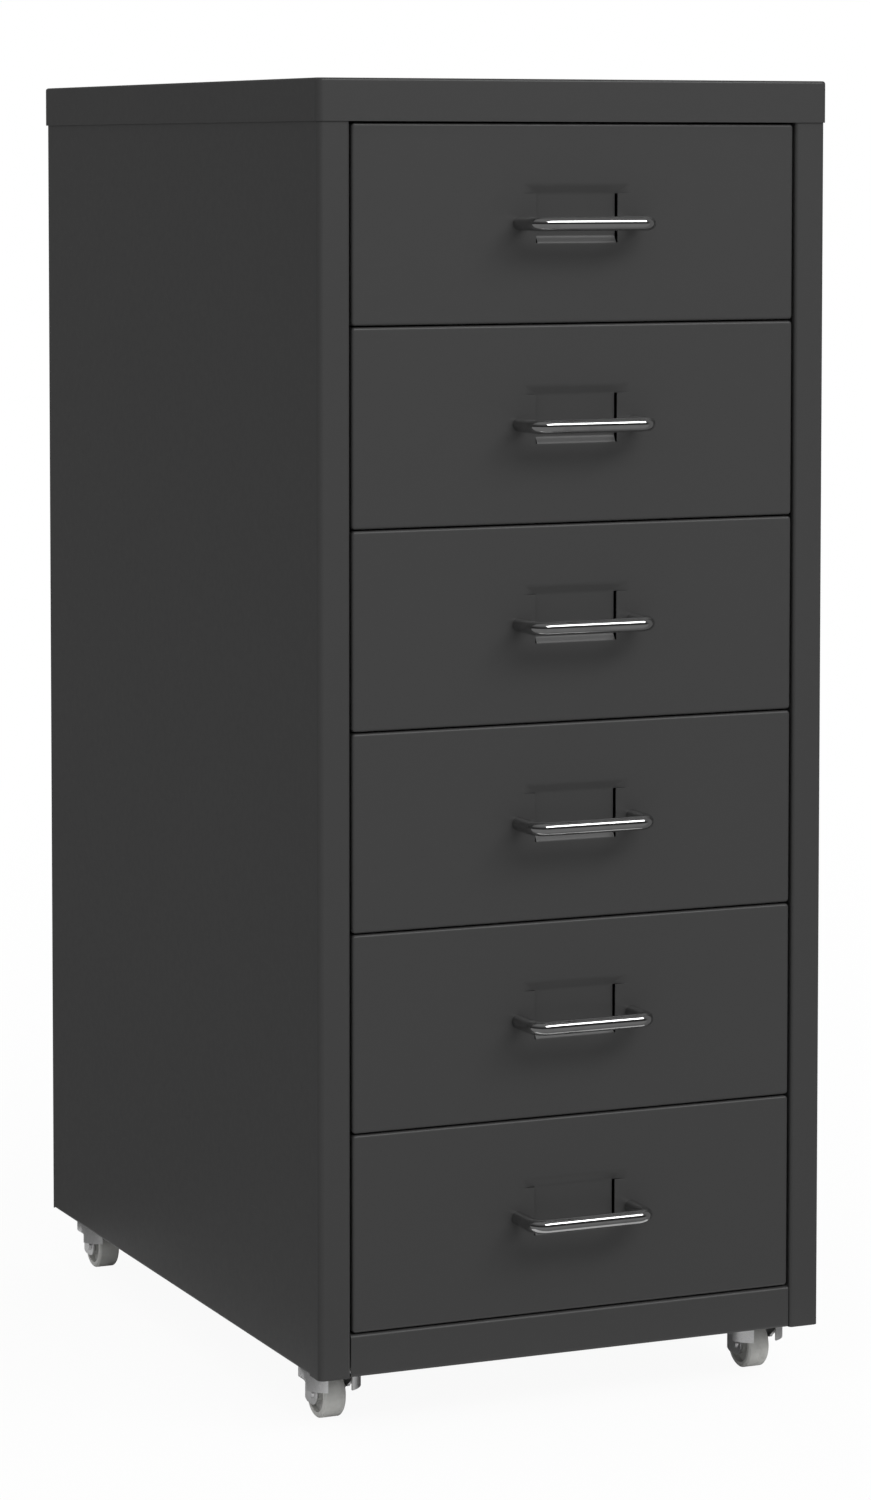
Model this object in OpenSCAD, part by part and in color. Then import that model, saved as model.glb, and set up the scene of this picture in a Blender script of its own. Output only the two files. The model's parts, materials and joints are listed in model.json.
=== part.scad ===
// Tall sheet-steel drawer cabinet on four swivel castors.
// Origin: middle of the footprint, on the floor. X to the right, Y to the back, Z up.
// The drawers open towards -Y. Sizes are in millimetres.

/* [Cabinet] */
// Width over the top cap
cabinet_w = 285; // [260:1:400]
// Depth over the top cap
cabinet_d = 417; // [400:1:520]
// Height from the floor to the top
cabinet_h = 682; // [600:1:800]
// Free height under the body
ground_gap = 30; // [29:0.5:31]
// Thickness of the body's sheet steel
sheet_t = 0.8; // [0.6:0.1:1]
// Outside radius of the body's upright edges
edge_r = 3; // [2:0.1:4]
// Inside radius of the plain folds
fold_r = 1; // [0.6:0.1:1.5]
// Clearance where one body panel laps over or into another
lap_gap = 0.1; // [0.05:0.05:0.3]

/* [Top cap] */
// Height of the cap's skirt
cap_skirt = 21.4; // [15:0.1:35]
// Outside radius of the fold between top and skirt
cap_fold_r = 1.5; // [1.1:0.1:2.5]

/* [Side panels] */
// Width of the front stile
stile_w = 17; // [14:0.5:22]
// Depth of the return fold behind the stile
stile_return = 12; // [8:0.5:16]
// Width of the fold that carries the back panel
rear_flange_w = 14; // [12:0.5:20]
// Width of the fold under the cap
top_flange_w = 12; // [6:0.5:20]
// Width of the fold under the side wall
bottom_hem_w = 4; // [3:0.2:4.4]

/* [Bottom rail and base] */
// Height of the rail under the lowest drawer
rail_h = 21.7; // [16:0.1:35]
// How far the rail and the drawer fronts stand back from the stiles
front_setback = 0.8; // [0:0.1:2]
// Clearance at each end of the rail
rail_end_gap = 0.4; // [0.2:0.1:0.8]
// Width of the fold at the rail's lower edge
rail_hem_w = 6; // [4:0.5:8]
// Space between the stile's return fold and the base panel
base_front_gap = 1.2; // [0.5:0.1:3]

/* [Drawer fronts] */
// Number of drawers
drawer_count = 6; // [4:1:7]
// Gap above and below each front
front_gap = 0.8; // [0.6:0.1:3]
// Gap between a front and the stile
front_side_gap = 1.3; // [1:0.1:3.6]
// Depth of the folds round a front
front_fold_d = 13; // [8:0.5:18]
// Outside radius of a front's corners
front_corner_r = 1.9; // [1.6:0.1:4]
// Outside radius of the fold between face and edge
front_fold_r = 1.4; // [1.1:0.1:1.5]

/* [Label pocket] */
// Width of the pocket's floor
label_w = 44; // [36:0.5:50]
// Height of the whole pressing
label_h = 29.4; // [20:0.1:34]
// Height of the pocket's middle above the handle's axis
label_rise = 4.8; // [3:0.1:6]
// Depth of the pressing
label_deep = 2; // [1.2:0.1:3]
// Height of the sloped wall above the floor
label_top_slope = 4.5; // [2:0.1:6]
// Height of the sloped wall below the floor
label_bottom_slope = 3.3; // [2:0.1:6]
// How far the top slope flares past each end of the floor
label_flare = 7.2; // [3:0.1:9]
// Width of the cut slit at each end
label_slit = 0.8; // [0.5:0.1:2.5]

/* [Handle] */
// Diameter of the handle's wire
wire_d = 7.2; // [6:0.1:8]
// Distance between the middles of the feet
handle_pitch = 64; // [60:1:110]
// Distance from the drawer's face to the middle of the bar
handle_reach = 22.5; // [18:0.5:34]
// Radius of the wire's middle line in its bends
handle_bend_r = 7; // [5:0.5:10]

/* [Drawer trays] */
// Thickness of the tray's sheet steel
tray_t = 0.7; // [0.6:0.1:0.9]
// Height of the tray's floor above the front's lower edge
tray_rise = 5; // [3:0.5:8]
// Distance from the tray's lip down from the front's upper edge
lip_drop = 17; // [14:0.5:22]
// Width of the lip that rides on the runner
lip_w = 7.4; // [7:0.1:9]
// Side clearance between the lip and the stile
lip_side_gap = 1.2; // [0.5:0.1:2]
// Outside radius of the tray's upright corners
tray_corner_r = 2.4; // [2:0.1:4]
// Outside radius of the fold round the tray's floor
tray_fold_r = 1.8; // [1.2:0.1:1.9]
// Space between the closed tray and the back of the cabinet
tray_rear_gap = 8; // [6:0.5:30]
// Width of the frame round the opening in the tray's front wall
tray_frame_w = 12; // [8:0.5:16]
// Distance that a drawer pulls out
drawer_travel = 300; // [150:5:310]

/* [Runners] */
// Thickness of the runner's steel
runner_t = 1; // [0.8:0.1:1.2]
// Vertical clearance between lip and runner
runner_seat_gap = 0.3; // [0.2:0.05:0.5]
// Free height over the lip inside the runner
runner_head_room = 4.3; // [4:0.1:6]
// Clearance between the runner's edge and the tray's wall
runner_edge_gap = 1.2; // [0.6:0.1:2]
// Clearance between the runner and the folds in front of it
runner_front_gap = 1; // [0.5:0.1:4]
// Depth to which the front stop hangs down
stop_drop = 3.2; // [2.8:0.1:3.4]
// Height of the hook on the lip
hook_h = 3.3; // [3:0.1:3.5]
// Clearance left between a stop and what meets it
stop_gap = 0.4; // [0.3:0.1:0.8]

/* [Castors] */
// Height from the floor to the base panel
castor_h = 38; // [36.5:0.5:40]
// Distance from the cap's side to the swivel axis
castor_inset_x = 21; // [20.5:0.5:40]
// Distance from the cap's front or back to the swivel axis
castor_inset_y = 37; // [36:0.5:60]
// Distance of the wheel's axle behind the swivel axis
castor_trail = 4.5; // [0:0.5:5]
// Side of the square top plate
plate_w = 34; // [33.5:0.5:34.5]
// Thickness of the top plate
plate_t = 1.8; // [1.5:0.1:2]
// Distance between the plate's screw holes
plate_hole_pitch = 25; // [24:0.5:25.5]
// Outside radius of the fork's round crown
crown_r = 16; // [15.5:0.1:16.5]
// Height of the crown's top above the floor
crown_top = 31; // [30.6:0.1:31]
// Height of the crown's lower rim above the floor
crown_rim = 17.3; // [17:0.1:19]
// Thickness of the fork's steel
fork_t = 1.2; // [1:0.1:1.4]
// Outside radius of the crown's upper edge
crown_edge_r = 4; // [3:0.1:5]
// Radius of the fork leg's two lower corners, the front one round the axle
leg_end_r = 6; // [5:0.1:6.5]
// Radius of the hollow between crown and leg
leg_fillet_r = 4; // [2:0.1:4]
// Height of the curve that brings the leg in to the wheel
leg_bend_h = 9; // [8:0.5:10]
// Radius of the upper corners of the crown's notches
notch_corner_r = 2; // [1:0.1:3]
// Diameter of the wheel
wheel_d = 26; // [25:0.5:26]
// Width of the wheel
wheel_w = 12; // [10:0.5:13]
// Bevel at the edges of the tread
wheel_bevel = 1; // [0.5:0.1:2]
// Diameter of the wheel's hub
hub_d = 10; // [8:0.5:12]
// Thickness of the wheel's rim
rim_t = 3; // [2:0.1:4]
// Depth of the recess between hub and rim on each side
web_recess = 3; // [1:0.1:4]
// Clearance between the wheel's hub and each fork leg
hub_gap = 0.6; // [0.3:0.1:1]
// Diameter of the axle
axle_d = 4; // [3:0.5:5]
// Diameter of the axle's rivet heads
rivet_head_d = 6; // [5.5:0.5:7]
// Height of the axle's rivet heads
rivet_head_t = 1.2; // [0.8:0.1:1.4]
// Diameter of the king pin
king_pin_d = 6; // [5:0.5:7]
// Diameter of the king pin's head
king_pin_head_d = 10; // [9:0.5:12]
// Thickness of the king pin's head
king_pin_head_t = 2.1; // [1.5:0.1:2.3]
// Thickness of the dish under the top plate
dish_t = 1.2; // [1:0.1:1.5]
// How far the dish's foot stands in from the flat of the crown
dish_inset = 2.5; // [2:0.1:3]
// How far the dish widens from its foot to the top plate
dish_flare = 3; // [2:0.1:3.2]
// Radial clearance of the axle and the king pin
running_gap = 0.05; // [0.02:0.01:0.09]
// Vertical clearance in the swivel
swivel_gap = 0.3; // [0.2:0.1:0.5]

/* [Screws] */
// Diameter of the screw thread
screw_d = 4; // [3:0.5:4]
// Diameter of the screw head
screw_head_d = 7.6; // [6:0.2:8]
// Height of the screw head
screw_head_h = 2.2; // [1.6:0.1:2.4]
// Length of the screw under its head
screw_l = 6; // [5:0.5:8]
// Length of the handle screw under its head
handle_screw_l = 8; // [6:0.5:12]
// Screws down each side of the back panel
back_screw_count = 4; // [2:1:6]
// Distance from the panel's foot and from the cap to the nearest back screw
back_screw_margin = 28; // [20:1:60]
// Distance between the cap's rear screws
cap_screw_pitch = 150; // [80:5:200]
// Radial clearance of a screw in its hole
screw_gap = 0.1; // [0.05:0.05:0.3]

/* [Hidden] */
$fn = 48;
CUT = 1;
PAINT = [0.25, 0.25, 0.255];
CHROME = [0.78, 0.78, 0.80];
ZINC = [0.66, 0.66, 0.66];
WHEEL_GREY = [0.60, 0.60, 0.585];

// Widths from the middle outwards
cap_half = cabinet_w / 2;
body_half = cap_half - sheet_t - lap_gap;
wall_half = body_half - sheet_t;
opening_half = body_half - stile_w;
front_half = opening_half - front_side_gap;
tray_half = opening_half - lip_side_gap - lip_w;
ledge_half = tray_half + runner_edge_gap;

// Depths: the handles and the rear screw heads are in the footprint, with the origin in its middle
handle_out = handle_reach + wire_d / 2;
handles_past_cap = handle_out - sheet_t - lap_gap - front_setback;
cap_front = -(cabinet_d - handles_past_cap + screw_head_h) / 2;
cap_back = cap_front + cabinet_d;
body_front = cap_front + sheet_t + lap_gap;
back_panel_back = cap_back - sheet_t - lap_gap;
body_back = back_panel_back - sheet_t;
face_y = body_front + front_setback;
front_back = face_y + sheet_t;
tray_back = body_back - sheet_t - tray_rear_gap;
lip_front = face_y + front_fold_d + stop_gap;
lip_back = tray_back - tray_corner_r;
runner_front = max(body_front + stile_return, face_y + front_fold_d) + runner_front_gap;
runner_back = lip_back + stop_gap + runner_t;
hook_front = runner_front + runner_t + drawer_travel + stop_gap;
rail_back = body_front + stile_return + base_front_gap;

// Heights
cap_bottom = cabinet_h - cap_skirt;
panel_top = cabinet_h - sheet_t - lap_gap;
rail_top = ground_gap + rail_h;
base_bottom = castor_h;
base_top = base_bottom + sheet_t;
front_h = (cap_bottom - rail_top - (drawer_count + 1) * front_gap) / drawer_count;
lip_up = front_h - lip_drop;

// Castor parts
axle_z = wheel_d / 2;
crown_ceiling = crown_top - fork_t;
leg_inner = wheel_w / 2 + hub_gap;
leg_outer = leg_inner + fork_t;
leg_bend_low = axle_z + rivet_head_d / 2;
leg_bend_top = leg_bend_low + leg_bend_h;
leg_front = castor_trail - leg_end_r;
leg_zone_front = leg_front - leg_fillet_r;
leg_zone = crown_r - leg_zone_front;
dish_bottom = crown_top + swivel_gap;
dish_low_r = crown_r - crown_edge_r - dish_inset;
dish_high_r = dish_low_r + dish_flare;
plate_bottom = castor_h - plate_t;

DRAWERS = [1 : drawer_count];
CASTORS = ["front_left", "front_right", "rear_left", "rear_right"];

function front_low(i) = rail_top + front_gap + (drawer_count - i) * (front_h + front_gap);
function front_mid(i) = front_low(i) + front_h / 2;
function lip_low(i) = front_low(i) + lip_up;
function castor_x(n) = (n % 2 == 0 ? -1 : 1) * (cap_half - castor_inset_x);
function castor_y(n) = n < 2 ? cap_front + castor_inset_y : cap_back - castor_inset_y;
function numbered(first, last) = [for (i = DRAWERS) str(first, i, last)];
function castor_names(last) = [for (name = CASTORS) str(name, last)];

// Quarter of a flat ring in the lower right quadrant
module quarter_ring(outer_r, wall) {
    intersection() {
        difference() {
            circle(outer_r);
            circle(outer_r - wall);
        }
        translate([0, -outer_r]) square(outer_r);
    }
}

// Outline of a folded sheet: straight legs joined by quarter bends.
// A turn of 1 bends to the left and -1 to the right; the sheet lies to the left of its path.
module folded_outline(legs, turns, radii, t, i = 0) {
    square([legs[i], t]);
    if (i < len(turns)) {
        r = radii[i];
        if (turns[i] > 0) {
            translate([legs[i], r + t]) quarter_ring(r + t, t);
            translate([legs[i] + r + t, r + t]) rotate(90) folded_outline(legs, turns, radii, t, i + 1);
        } else {
            translate([legs[i], -r]) rotate(90) quarter_ring(r + t, t);
            translate([legs[i] + r, -r]) rotate(-90) folded_outline(legs, turns, radii, t, i + 1);
        }
    }
}

// Cross-section of a pan's edge, from the axis of its corner out to the wall
module pan_edge(h, t, corner_r, bend_r) {
    square([corner_r - bend_r, t]);
    translate([corner_r - bend_r, bend_r]) quarter_ring(bend_r, t);
    translate([corner_r - t, bend_r]) square([t, h - bend_r]);
}

// Shallow pan of folded sheet with a flat floor on Z = 0, walls up to h and round corners
module sheet_pan(w, d, h, t, corner_r, bend_r) {
    flat_w = w - 2 * corner_r;
    flat_d = d - 2 * corner_r;
    translate([-flat_w / 2, -flat_d / 2, 0]) cube([flat_w, flat_d, t]);
    for (quarter = [0 : 3]) {
        along = quarter % 2 == 0 ? flat_d : flat_w;
        across = quarter % 2 == 0 ? flat_w : flat_d;
        rotate(90 * quarter) {
            translate([across / 2, along / 2, 0]) rotate([90, 0, 0])
                linear_extrude(along) pan_edge(h, t, corner_r, bend_r);
            translate([across / 2, along / 2, 0])
                rotate_extrude(angle = 90) pan_edge(h, t, corner_r, bend_r);
        }
    }
}

// Mirrors its children across X for the right-hand side
module on_side(side) {
    mirror([side > 0 ? 1 : 0, 0, 0]) children();
}

// Screw with a low round head, its shank along -Z from the head's underside at Z = 0
module screw(l) {
    crown = screw_head_h / 2;
    translate([0, 0, -l]) cylinder(d = screw_d, h = l + CUT / 2);
    cylinder(d = screw_head_d, h = crown);
    translate([0, 0, crown]) cylinder(d1 = screw_head_d, d2 = screw_head_d - 2 * crown, h = crown);
}

// Round hole for a screw along Z, open both ways
module screw_hole() {
    translate([0, 0, -cap_skirt]) cylinder(r = screw_d / 2 + screw_gap, h = 2 * cap_skirt);
}

// Puts its children at each back-panel screw, with Z pointing backwards out of the panel
module at_back_screws() {
    side_x = body_half - (edge_r + rear_flange_w) / 2;
    low = ground_gap + back_screw_margin;
    pitch = (cap_bottom - back_screw_margin - low) / (back_screw_count - 1);
    for (side = [-1, 1], i = [0 : back_screw_count - 1])
        translate([side * side_x, back_panel_back, low + pitch * i])
            rotate([-90, 0, 0]) children();
}

// Puts its children at each rear cap screw, with Z pointing backwards out of the skirt
module at_cap_screws() {
    for (side = [-1, 1])
        translate([side * cap_screw_pitch / 2, cap_back, cabinet_h - cap_skirt / 2])
            rotate([-90, 0, 0]) children();
}

// Puts its children at the four plate screws of each castor, at the plate's underside
module at_castor_screws() {
    for (n = [0 : 3], sx = [-1, 1], sy = [-1, 1])
        translate([castor_x(n) + sx * plate_hole_pitch / 2, castor_y(n) + sy * plate_hole_pitch / 2, plate_bottom])
            children();
}

module top_cap() {
    color(PAINT)
    difference() {
        translate([0, cap_front + cabinet_d / 2, cabinet_h]) mirror([0, 0, 1])
            sheet_pan(cabinet_w, cabinet_d, cap_skirt, sheet_t, edge_r + sheet_t + lap_gap, cap_fold_r);
        at_cap_screws() screw_hole();
    }
}

// Plan of the left side panel: stile return, stile, side wall and rear flange in one strip
module side_panel_plan() {
    wrap_r = edge_r - sheet_t;
    legs = [
        stile_return - fold_r - sheet_t,
        stile_w - fold_r - sheet_t - edge_r,
        body_back - body_front - 2 * edge_r,
        rear_flange_w - edge_r
    ];
    translate([-opening_half - sheet_t, body_front + stile_return]) rotate(-90)
        folded_outline(legs, [-1, -1, -1], [fold_r, wrap_r, wrap_r], sheet_t);
}

// Fold along the top or bottom edge of the left side wall, seen from the front
module edge_fold(width) {
    stub = fold_r + sheet_t;
    folded_outline([stub, width - fold_r - sheet_t], [-1], [fold_r], sheet_t);
}

module side_panel(side) {
    fold_zone = fold_r + sheet_t;
    fold_l = body_back - edge_r - rail_back;
    color(PAINT)
    on_side(side)
    difference() {
        union() {
            difference() {
                translate([0, 0, ground_gap]) linear_extrude(panel_top - ground_gap) side_panel_plan();
                for (low = [ground_gap - CUT, panel_top - fold_zone])
                    translate([-body_half - CUT, rail_back, low])
                        cube([sheet_t + 2 * CUT, fold_l, fold_zone + CUT]);
            }
            translate([-wall_half, rail_back + fold_l, panel_top - 2 * fold_zone]) rotate([90, 0, 0])
                linear_extrude(fold_l) rotate(90) edge_fold(top_flange_w);
            translate([-wall_half, rail_back + fold_l, ground_gap + 2 * fold_zone]) rotate([90, 0, 0])
                linear_extrude(fold_l) mirror([0, 1]) rotate(90) edge_fold(bottom_hem_w);
        }
        at_back_screws() screw_hole();
    }
}

module back_panel() {
    panel_half = body_half - edge_r - sheet_t;
    color(PAINT)
    difference() {
        translate([-panel_half, body_back, ground_gap])
            cube([2 * panel_half, sheet_t, panel_top - ground_gap - fold_r]);
        at_back_screws() screw_hole();
        at_cap_screws() screw_hole();
    }
}

module base_panel() {
    w = 2 * (wall_half - lap_gap);
    back = body_back - sheet_t - lap_gap;
    h = base_top - ground_gap - sheet_t - fold_r;
    color(PAINT)
    difference() {
        translate([0, (rail_back + back) / 2, base_top]) mirror([0, 0, 1])
            sheet_pan(w, back - rail_back, h, sheet_t, edge_r, fold_r + sheet_t);
        at_castor_screws() screw_hole();
    }
}

// Rail section: lower hem, face, top and rear leg, with the open side down
module bottom_rail() {
    bend = fold_r + sheet_t;
    rail_half = opening_half - rail_end_gap;
    legs = [rail_hem_w - bend, rail_h - 2 * bend, rail_back - face_y - 2 * bend, rail_h - bend - 2 * sheet_t];
    color(PAINT)
    translate([-rail_half, face_y + rail_hem_w, ground_gap + sheet_t])
        rotate([90, 0, 90]) linear_extrude(2 * rail_half)
            mirror([1, 0]) translate([0, -sheet_t])
                folded_outline(legs, [1, 1, 1], [fold_r, fold_r, fold_r], sheet_t);
}

// Channel on the left wall in which the lip of drawer i slides, with a stop at each end
module runner(side, i) {
    bend = fold_r + runner_t;
    ledge_w = wall_half - ledge_half;
    low = lip_low(i) - runner_seat_gap - runner_t;
    slot_h = runner_seat_gap + tray_t + runner_head_room;
    legs = [ledge_w - bend, slot_h + 2 * runner_t - 2 * bend, ledge_w - bend];
    stop_w = lip_w - runner_edge_gap;
    color(ZINC)
    on_side(side) {
        translate([-ledge_half, runner_back, low]) rotate([90, 0, 0]) linear_extrude(runner_back - runner_front)
            mirror([1, 0]) folded_outline(legs, [1, 1], [fold_r, fold_r], runner_t);
        translate([-ledge_half - stop_w, runner_front, low + runner_t + slot_h - stop_drop])
            cube([stop_w, runner_t, stop_drop + runner_t / 2]);
        translate([-ledge_half - stop_w, runner_back - runner_t, low + runner_t / 2])
            cube([stop_w, runner_t, stop_drop + runner_t / 2]);
    }
}

// Lip along the top of the tray's left wall, whose underside is at Z = 0; its stub goes into the wall
module tray_lip() {
    stub = fold_r;
    rotate([90, 0, 0]) linear_extrude(lip_back - lip_front)
        translate([0, -fold_r - stub]) rotate(90)
            mirror([0, 1]) folded_outline([stub, lip_w - fold_r], [-1], [fold_r], tray_t);
}

module drawer_tray(i) {
    low = front_low(i) + tray_rise;
    wall_h = lip_low(i) - fold_r - low;
    depth = tray_back - front_back;
    window_w = 2 * (tray_half - tray_frame_w);
    hook_w = lip_w - runner_edge_gap - 2 * stop_gap;
    color(PAINT) {
        difference() {
            translate([0, front_back + depth / 2, low])
                sheet_pan(2 * tray_half, depth, wall_h, tray_t, tray_corner_r, tray_fold_r);
            translate([-window_w / 2, front_back - CUT, low + tray_frame_w])
                cube([window_w, tray_t + 2 * CUT, wall_h]);
        }
        for (side = [-1, 1]) on_side(side) {
            translate([-tray_half, lip_back, lip_low(i)]) tray_lip();
            translate([-tray_half - lip_w + stop_gap, hook_front, lip_low(i) + tray_t / 2])
                cube([hook_w, tray_t, hook_h + tray_t / 2]);
        }
    }
}

// Wedge under the pocket's upper edge: wide at the face, narrow at the floor's depth
module top_wedge(shift) {
    wide = label_w / 2 + label_flare;
    low = label_rise + label_h / 2 - label_top_slope;
    high = low + label_top_slope;
    points = [
        [-wide, shift, low], [wide, shift, low], [wide, shift, high], [-wide, shift, high],
        [-label_w / 2, shift + label_deep, low], [label_w / 2, shift + label_deep, low]
    ];
    polyhedron(points, [[0, 1, 5, 4], [0, 3, 2, 1], [3, 4, 5, 2], [0, 4, 3], [1, 2, 5]]);
}

// Sheet of the pocket's floor and lower slope, seen from the side
module pocket_sheet() {
    low = label_rise - label_h / 2;
    floor_low = low + label_bottom_slope;
    high = label_rise + label_h / 2 - label_top_slope;
    polygon([
        [0, low], [label_deep, floor_low], [label_deep, high],
        [label_deep + sheet_t, high], [label_deep + sheet_t, floor_low], [sheet_t, low]
    ]);
}

// What the press and the lance take out of the flat face
module label_cut() {
    low = label_rise - label_h / 2;
    floor_top = label_rise + label_h / 2 - label_top_slope;
    cut_w = label_w + 2 * label_slit;
    translate([-cut_w / 2, -CUT, low]) cube([cut_w, sheet_t + 2 * CUT, floor_top - low]);
    top_wedge(0);
}

module label_pocket() {
    translate([-label_w / 2, 0, 0]) rotate([90, 0, 90]) linear_extrude(label_w) pocket_sheet();
    difference() {
        top_wedge(sheet_t);
        top_wedge(0);
    }
}

module drawer_front(i) {
    color(PAINT)
    translate([0, face_y, front_mid(i)]) {
        difference() {
            rotate([-90, 0, 0])
                sheet_pan(2 * front_half, front_h, front_fold_d, sheet_t, front_corner_r, front_fold_r);
            label_cut();
            for (side = [-1, 1]) translate([side * handle_pitch / 2, 0, 0]) rotate([90, 0, 0]) screw_hole();
        }
        label_pocket();
    }
}

// Bent wire: a bar, two bends and two legs whose feet are bored for the screws
module drawer_handle(i) {
    leg_l = handle_reach - handle_bend_r;
    bar_half = handle_pitch / 2 - handle_bend_r;
    color(CHROME)
    translate([0, face_y, front_mid(i)])
    difference() {
        union() {
            translate([-bar_half, -handle_reach, 0]) rotate([0, 90, 0]) cylinder(d = wire_d, h = 2 * bar_half);
            for (side = [-1, 1]) {
                translate([side * handle_pitch / 2, 0, 0]) rotate([90, 0, 0]) cylinder(d = wire_d, h = leg_l);
                translate([side * bar_half, -leg_l, 0]) rotate(side > 0 ? -90 : 180)
                    rotate_extrude(angle = 90) translate([handle_bend_r, 0]) circle(d = wire_d);
            }
        }
        for (side = [-1, 1]) translate([side * handle_pitch / 2, CUT, 0]) rotate([90, 0, 0])
            cylinder(r = screw_d / 2 + running_gap, h = handle_screw_l + CUT);
    }
}

module drawer_handle_screws(i) {
    color(ZINC)
    for (side = [-1, 1])
        translate([side * handle_pitch / 2, front_back, front_mid(i)]) rotate([-90, 0, 0]) screw(handle_screw_l);
}

module panel_screws() {
    color(ZINC) {
        at_back_screws() screw(screw_l);
        at_cap_screws() screw(screw_l);
    }
}

module castor_screws() {
    color(ZINC)
    at_castor_screws() mirror([0, 0, 1]) screw(screw_l);
}

// Section of the fixed upper part: king pin with its head, and the dish that runs on the crown
module mount_section() {
    head_top = crown_ceiling - swivel_gap;
    head_low = head_top - king_pin_head_t;
    head_r = king_pin_head_d / 2;
    polygon([
        [0, head_low], [head_r, head_low], [head_r, head_top],
        [king_pin_d / 2, head_top], [king_pin_d / 2, dish_bottom], [dish_low_r, dish_bottom],
        [dish_high_r, plate_bottom], [dish_high_r, castor_h], [dish_high_r - dish_t, castor_h],
        [dish_low_r - dish_t, dish_bottom + dish_t], [0, dish_bottom + dish_t]
    ]);
}

module castor_mount(n) {
    dish_open_r = dish_high_r - dish_t / 2;
    color(ZINC)
    translate([castor_x(n), castor_y(n), 0]) {
        rotate_extrude() mount_section();
        difference() {
            translate([-plate_w / 2, -plate_w / 2, plate_bottom]) cube([plate_w, plate_w, plate_t]);
            translate([0, 0, plate_bottom - CUT]) cylinder(r = dish_open_r, h = plate_t + 2 * CUT);
            for (sx = [-1, 1], sy = [-1, 1])
                translate([sx * plate_hole_pitch / 2, sy * plate_hole_pitch / 2, plate_bottom]) screw_hole();
        }
    }
}

// Half section of the crown: wall, rounded shoulder and top with the king pin's hole
module crown_section() {
    pin_hole_r = king_pin_d / 2 + running_gap;
    shoulder_z = crown_top - crown_edge_r;
    translate([crown_r - fork_t, crown_rim]) square([fork_t, shoulder_z - crown_rim]);
    translate([crown_r - crown_edge_r, shoulder_z]) rotate(90) quarter_ring(crown_edge_r, fork_t);
    translate([pin_hole_r, crown_ceiling]) square([crown_r - crown_edge_r - pin_hole_r, fork_t]);
}

// Opening in the crown's wall that the wheel turns through, seen from the front
module crown_notch() {
    half = wheel_w / 2 + hub_gap;
    notch_top = wheel_d + hub_gap;
    flat_half = half - notch_corner_r;
    side_top = notch_top - notch_corner_r;
    translate([-half, crown_rim - CUT]) square([2 * half, side_top - crown_rim + CUT]);
    translate([-flat_half, crown_rim]) square([2 * flat_half, notch_top - crown_rim]);
    for (side = [-1, 1]) translate([side * flat_half, side_top]) circle(notch_corner_r);
}

// Leg seen from the side: rounded foot, straight back and a hollow in front that runs out into the rim
module leg_outline() {
    foot_back = crown_r - leg_end_r;
    for (y = [castor_trail, foot_back]) translate([y, axle_z]) circle(leg_end_r);
    translate([castor_trail, axle_z - leg_end_r]) square([foot_back - castor_trail, leg_end_r]);
    translate([leg_front, axle_z]) square([crown_r - leg_front, leg_bend_top - axle_z]);
    translate([leg_zone_front, crown_rim]) square([leg_zone, leg_bend_top - crown_rim]);
    translate([leg_front, crown_rim - leg_fillet_r]) mirror([1, 0])
        difference() {
            square(leg_fillet_r + CUT / 2);
            translate([leg_fillet_r, 0]) circle(leg_fillet_r);
            translate([leg_fillet_r, 0]) square(leg_fillet_r);
        }
}

// Points up one face of the right leg, seen from the front: it curves out to the crown's wall
function leg_curve(t) = [
    for (k = [0 : 1 / 8 : 1])
        let (swing = (crown_r - fork_t - leg_inner) / 2)
        let (lean = atan(PI * swing / leg_bend_h * sin(180 * k)))
        [leg_inner + swing * (1 - cos(180 * k)), leg_bend_low + leg_bend_h * k] + t * [cos(lean), -sin(lean)]
];

// Sheet of the right leg, seen from the front
module leg_sheet() {
    foot = axle_z - leg_end_r - CUT;
    outer = leg_curve(fork_t);
    back_down = [for (k = [len(outer) - 1 : -1 : 0]) outer[k]];
    polygon(concat([[leg_inner, foot]], leg_curve(0), back_down, [[leg_outer, foot]]));
}

// Space outside the right leg, which the crown's wall leaves free
module leg_relief() {
    foot = crown_rim - CUT;
    above_foot = [for (p = leg_curve(fork_t)) if (p.y > foot) p];
    polygon(concat([[leg_outer, foot]], above_foot, [[2 * crown_r, leg_bend_top], [2 * crown_r, foot]]));
}

module fork_leg() {
    intersection() {
        rotate([90, 0, 0]) translate([0, 0, -crown_r]) linear_extrude(2 * crown_r) leg_sheet();
        rotate([90, 0, 90]) linear_extrude(crown_r) leg_outline();
        cylinder(r = crown_r, h = crown_top);
    }
}

module castor_fork(n) {
    color(ZINC)
    translate([castor_x(n), castor_y(n), 0])
    difference() {
        union() {
            difference() {
                rotate_extrude() crown_section();
                rotate([90, 0, 0]) translate([0, 0, -2 * crown_r]) linear_extrude(4 * crown_r) crown_notch();
                for (side = [0, 1]) mirror([side, 0, 0])
                    rotate([90, 0, 0]) translate([0, 0, -crown_r - CUT])
                        linear_extrude(leg_zone + CUT) leg_relief();
            }
            for (side = [0, 1]) mirror([side, 0, 0]) fork_leg();
        }
        translate([-2 * crown_r, castor_trail, axle_z]) rotate([0, 90, 0])
            cylinder(d = axle_d, h = 4 * crown_r);
    }
}

// Rivet with a flat round head outside each leg
module castor_axle(n) {
    color(ZINC)
    translate([castor_x(n), castor_y(n) + castor_trail, axle_z]) rotate([0, 90, 0]) {
        translate([0, 0, -leg_outer]) cylinder(d = axle_d, h = 2 * leg_outer);
        for (side = [0, 1]) mirror([0, 0, side]) translate([0, 0, leg_outer])
            cylinder(d1 = rivet_head_d, d2 = rivet_head_d - rivet_head_t, h = rivet_head_t);
    }
}

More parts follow.
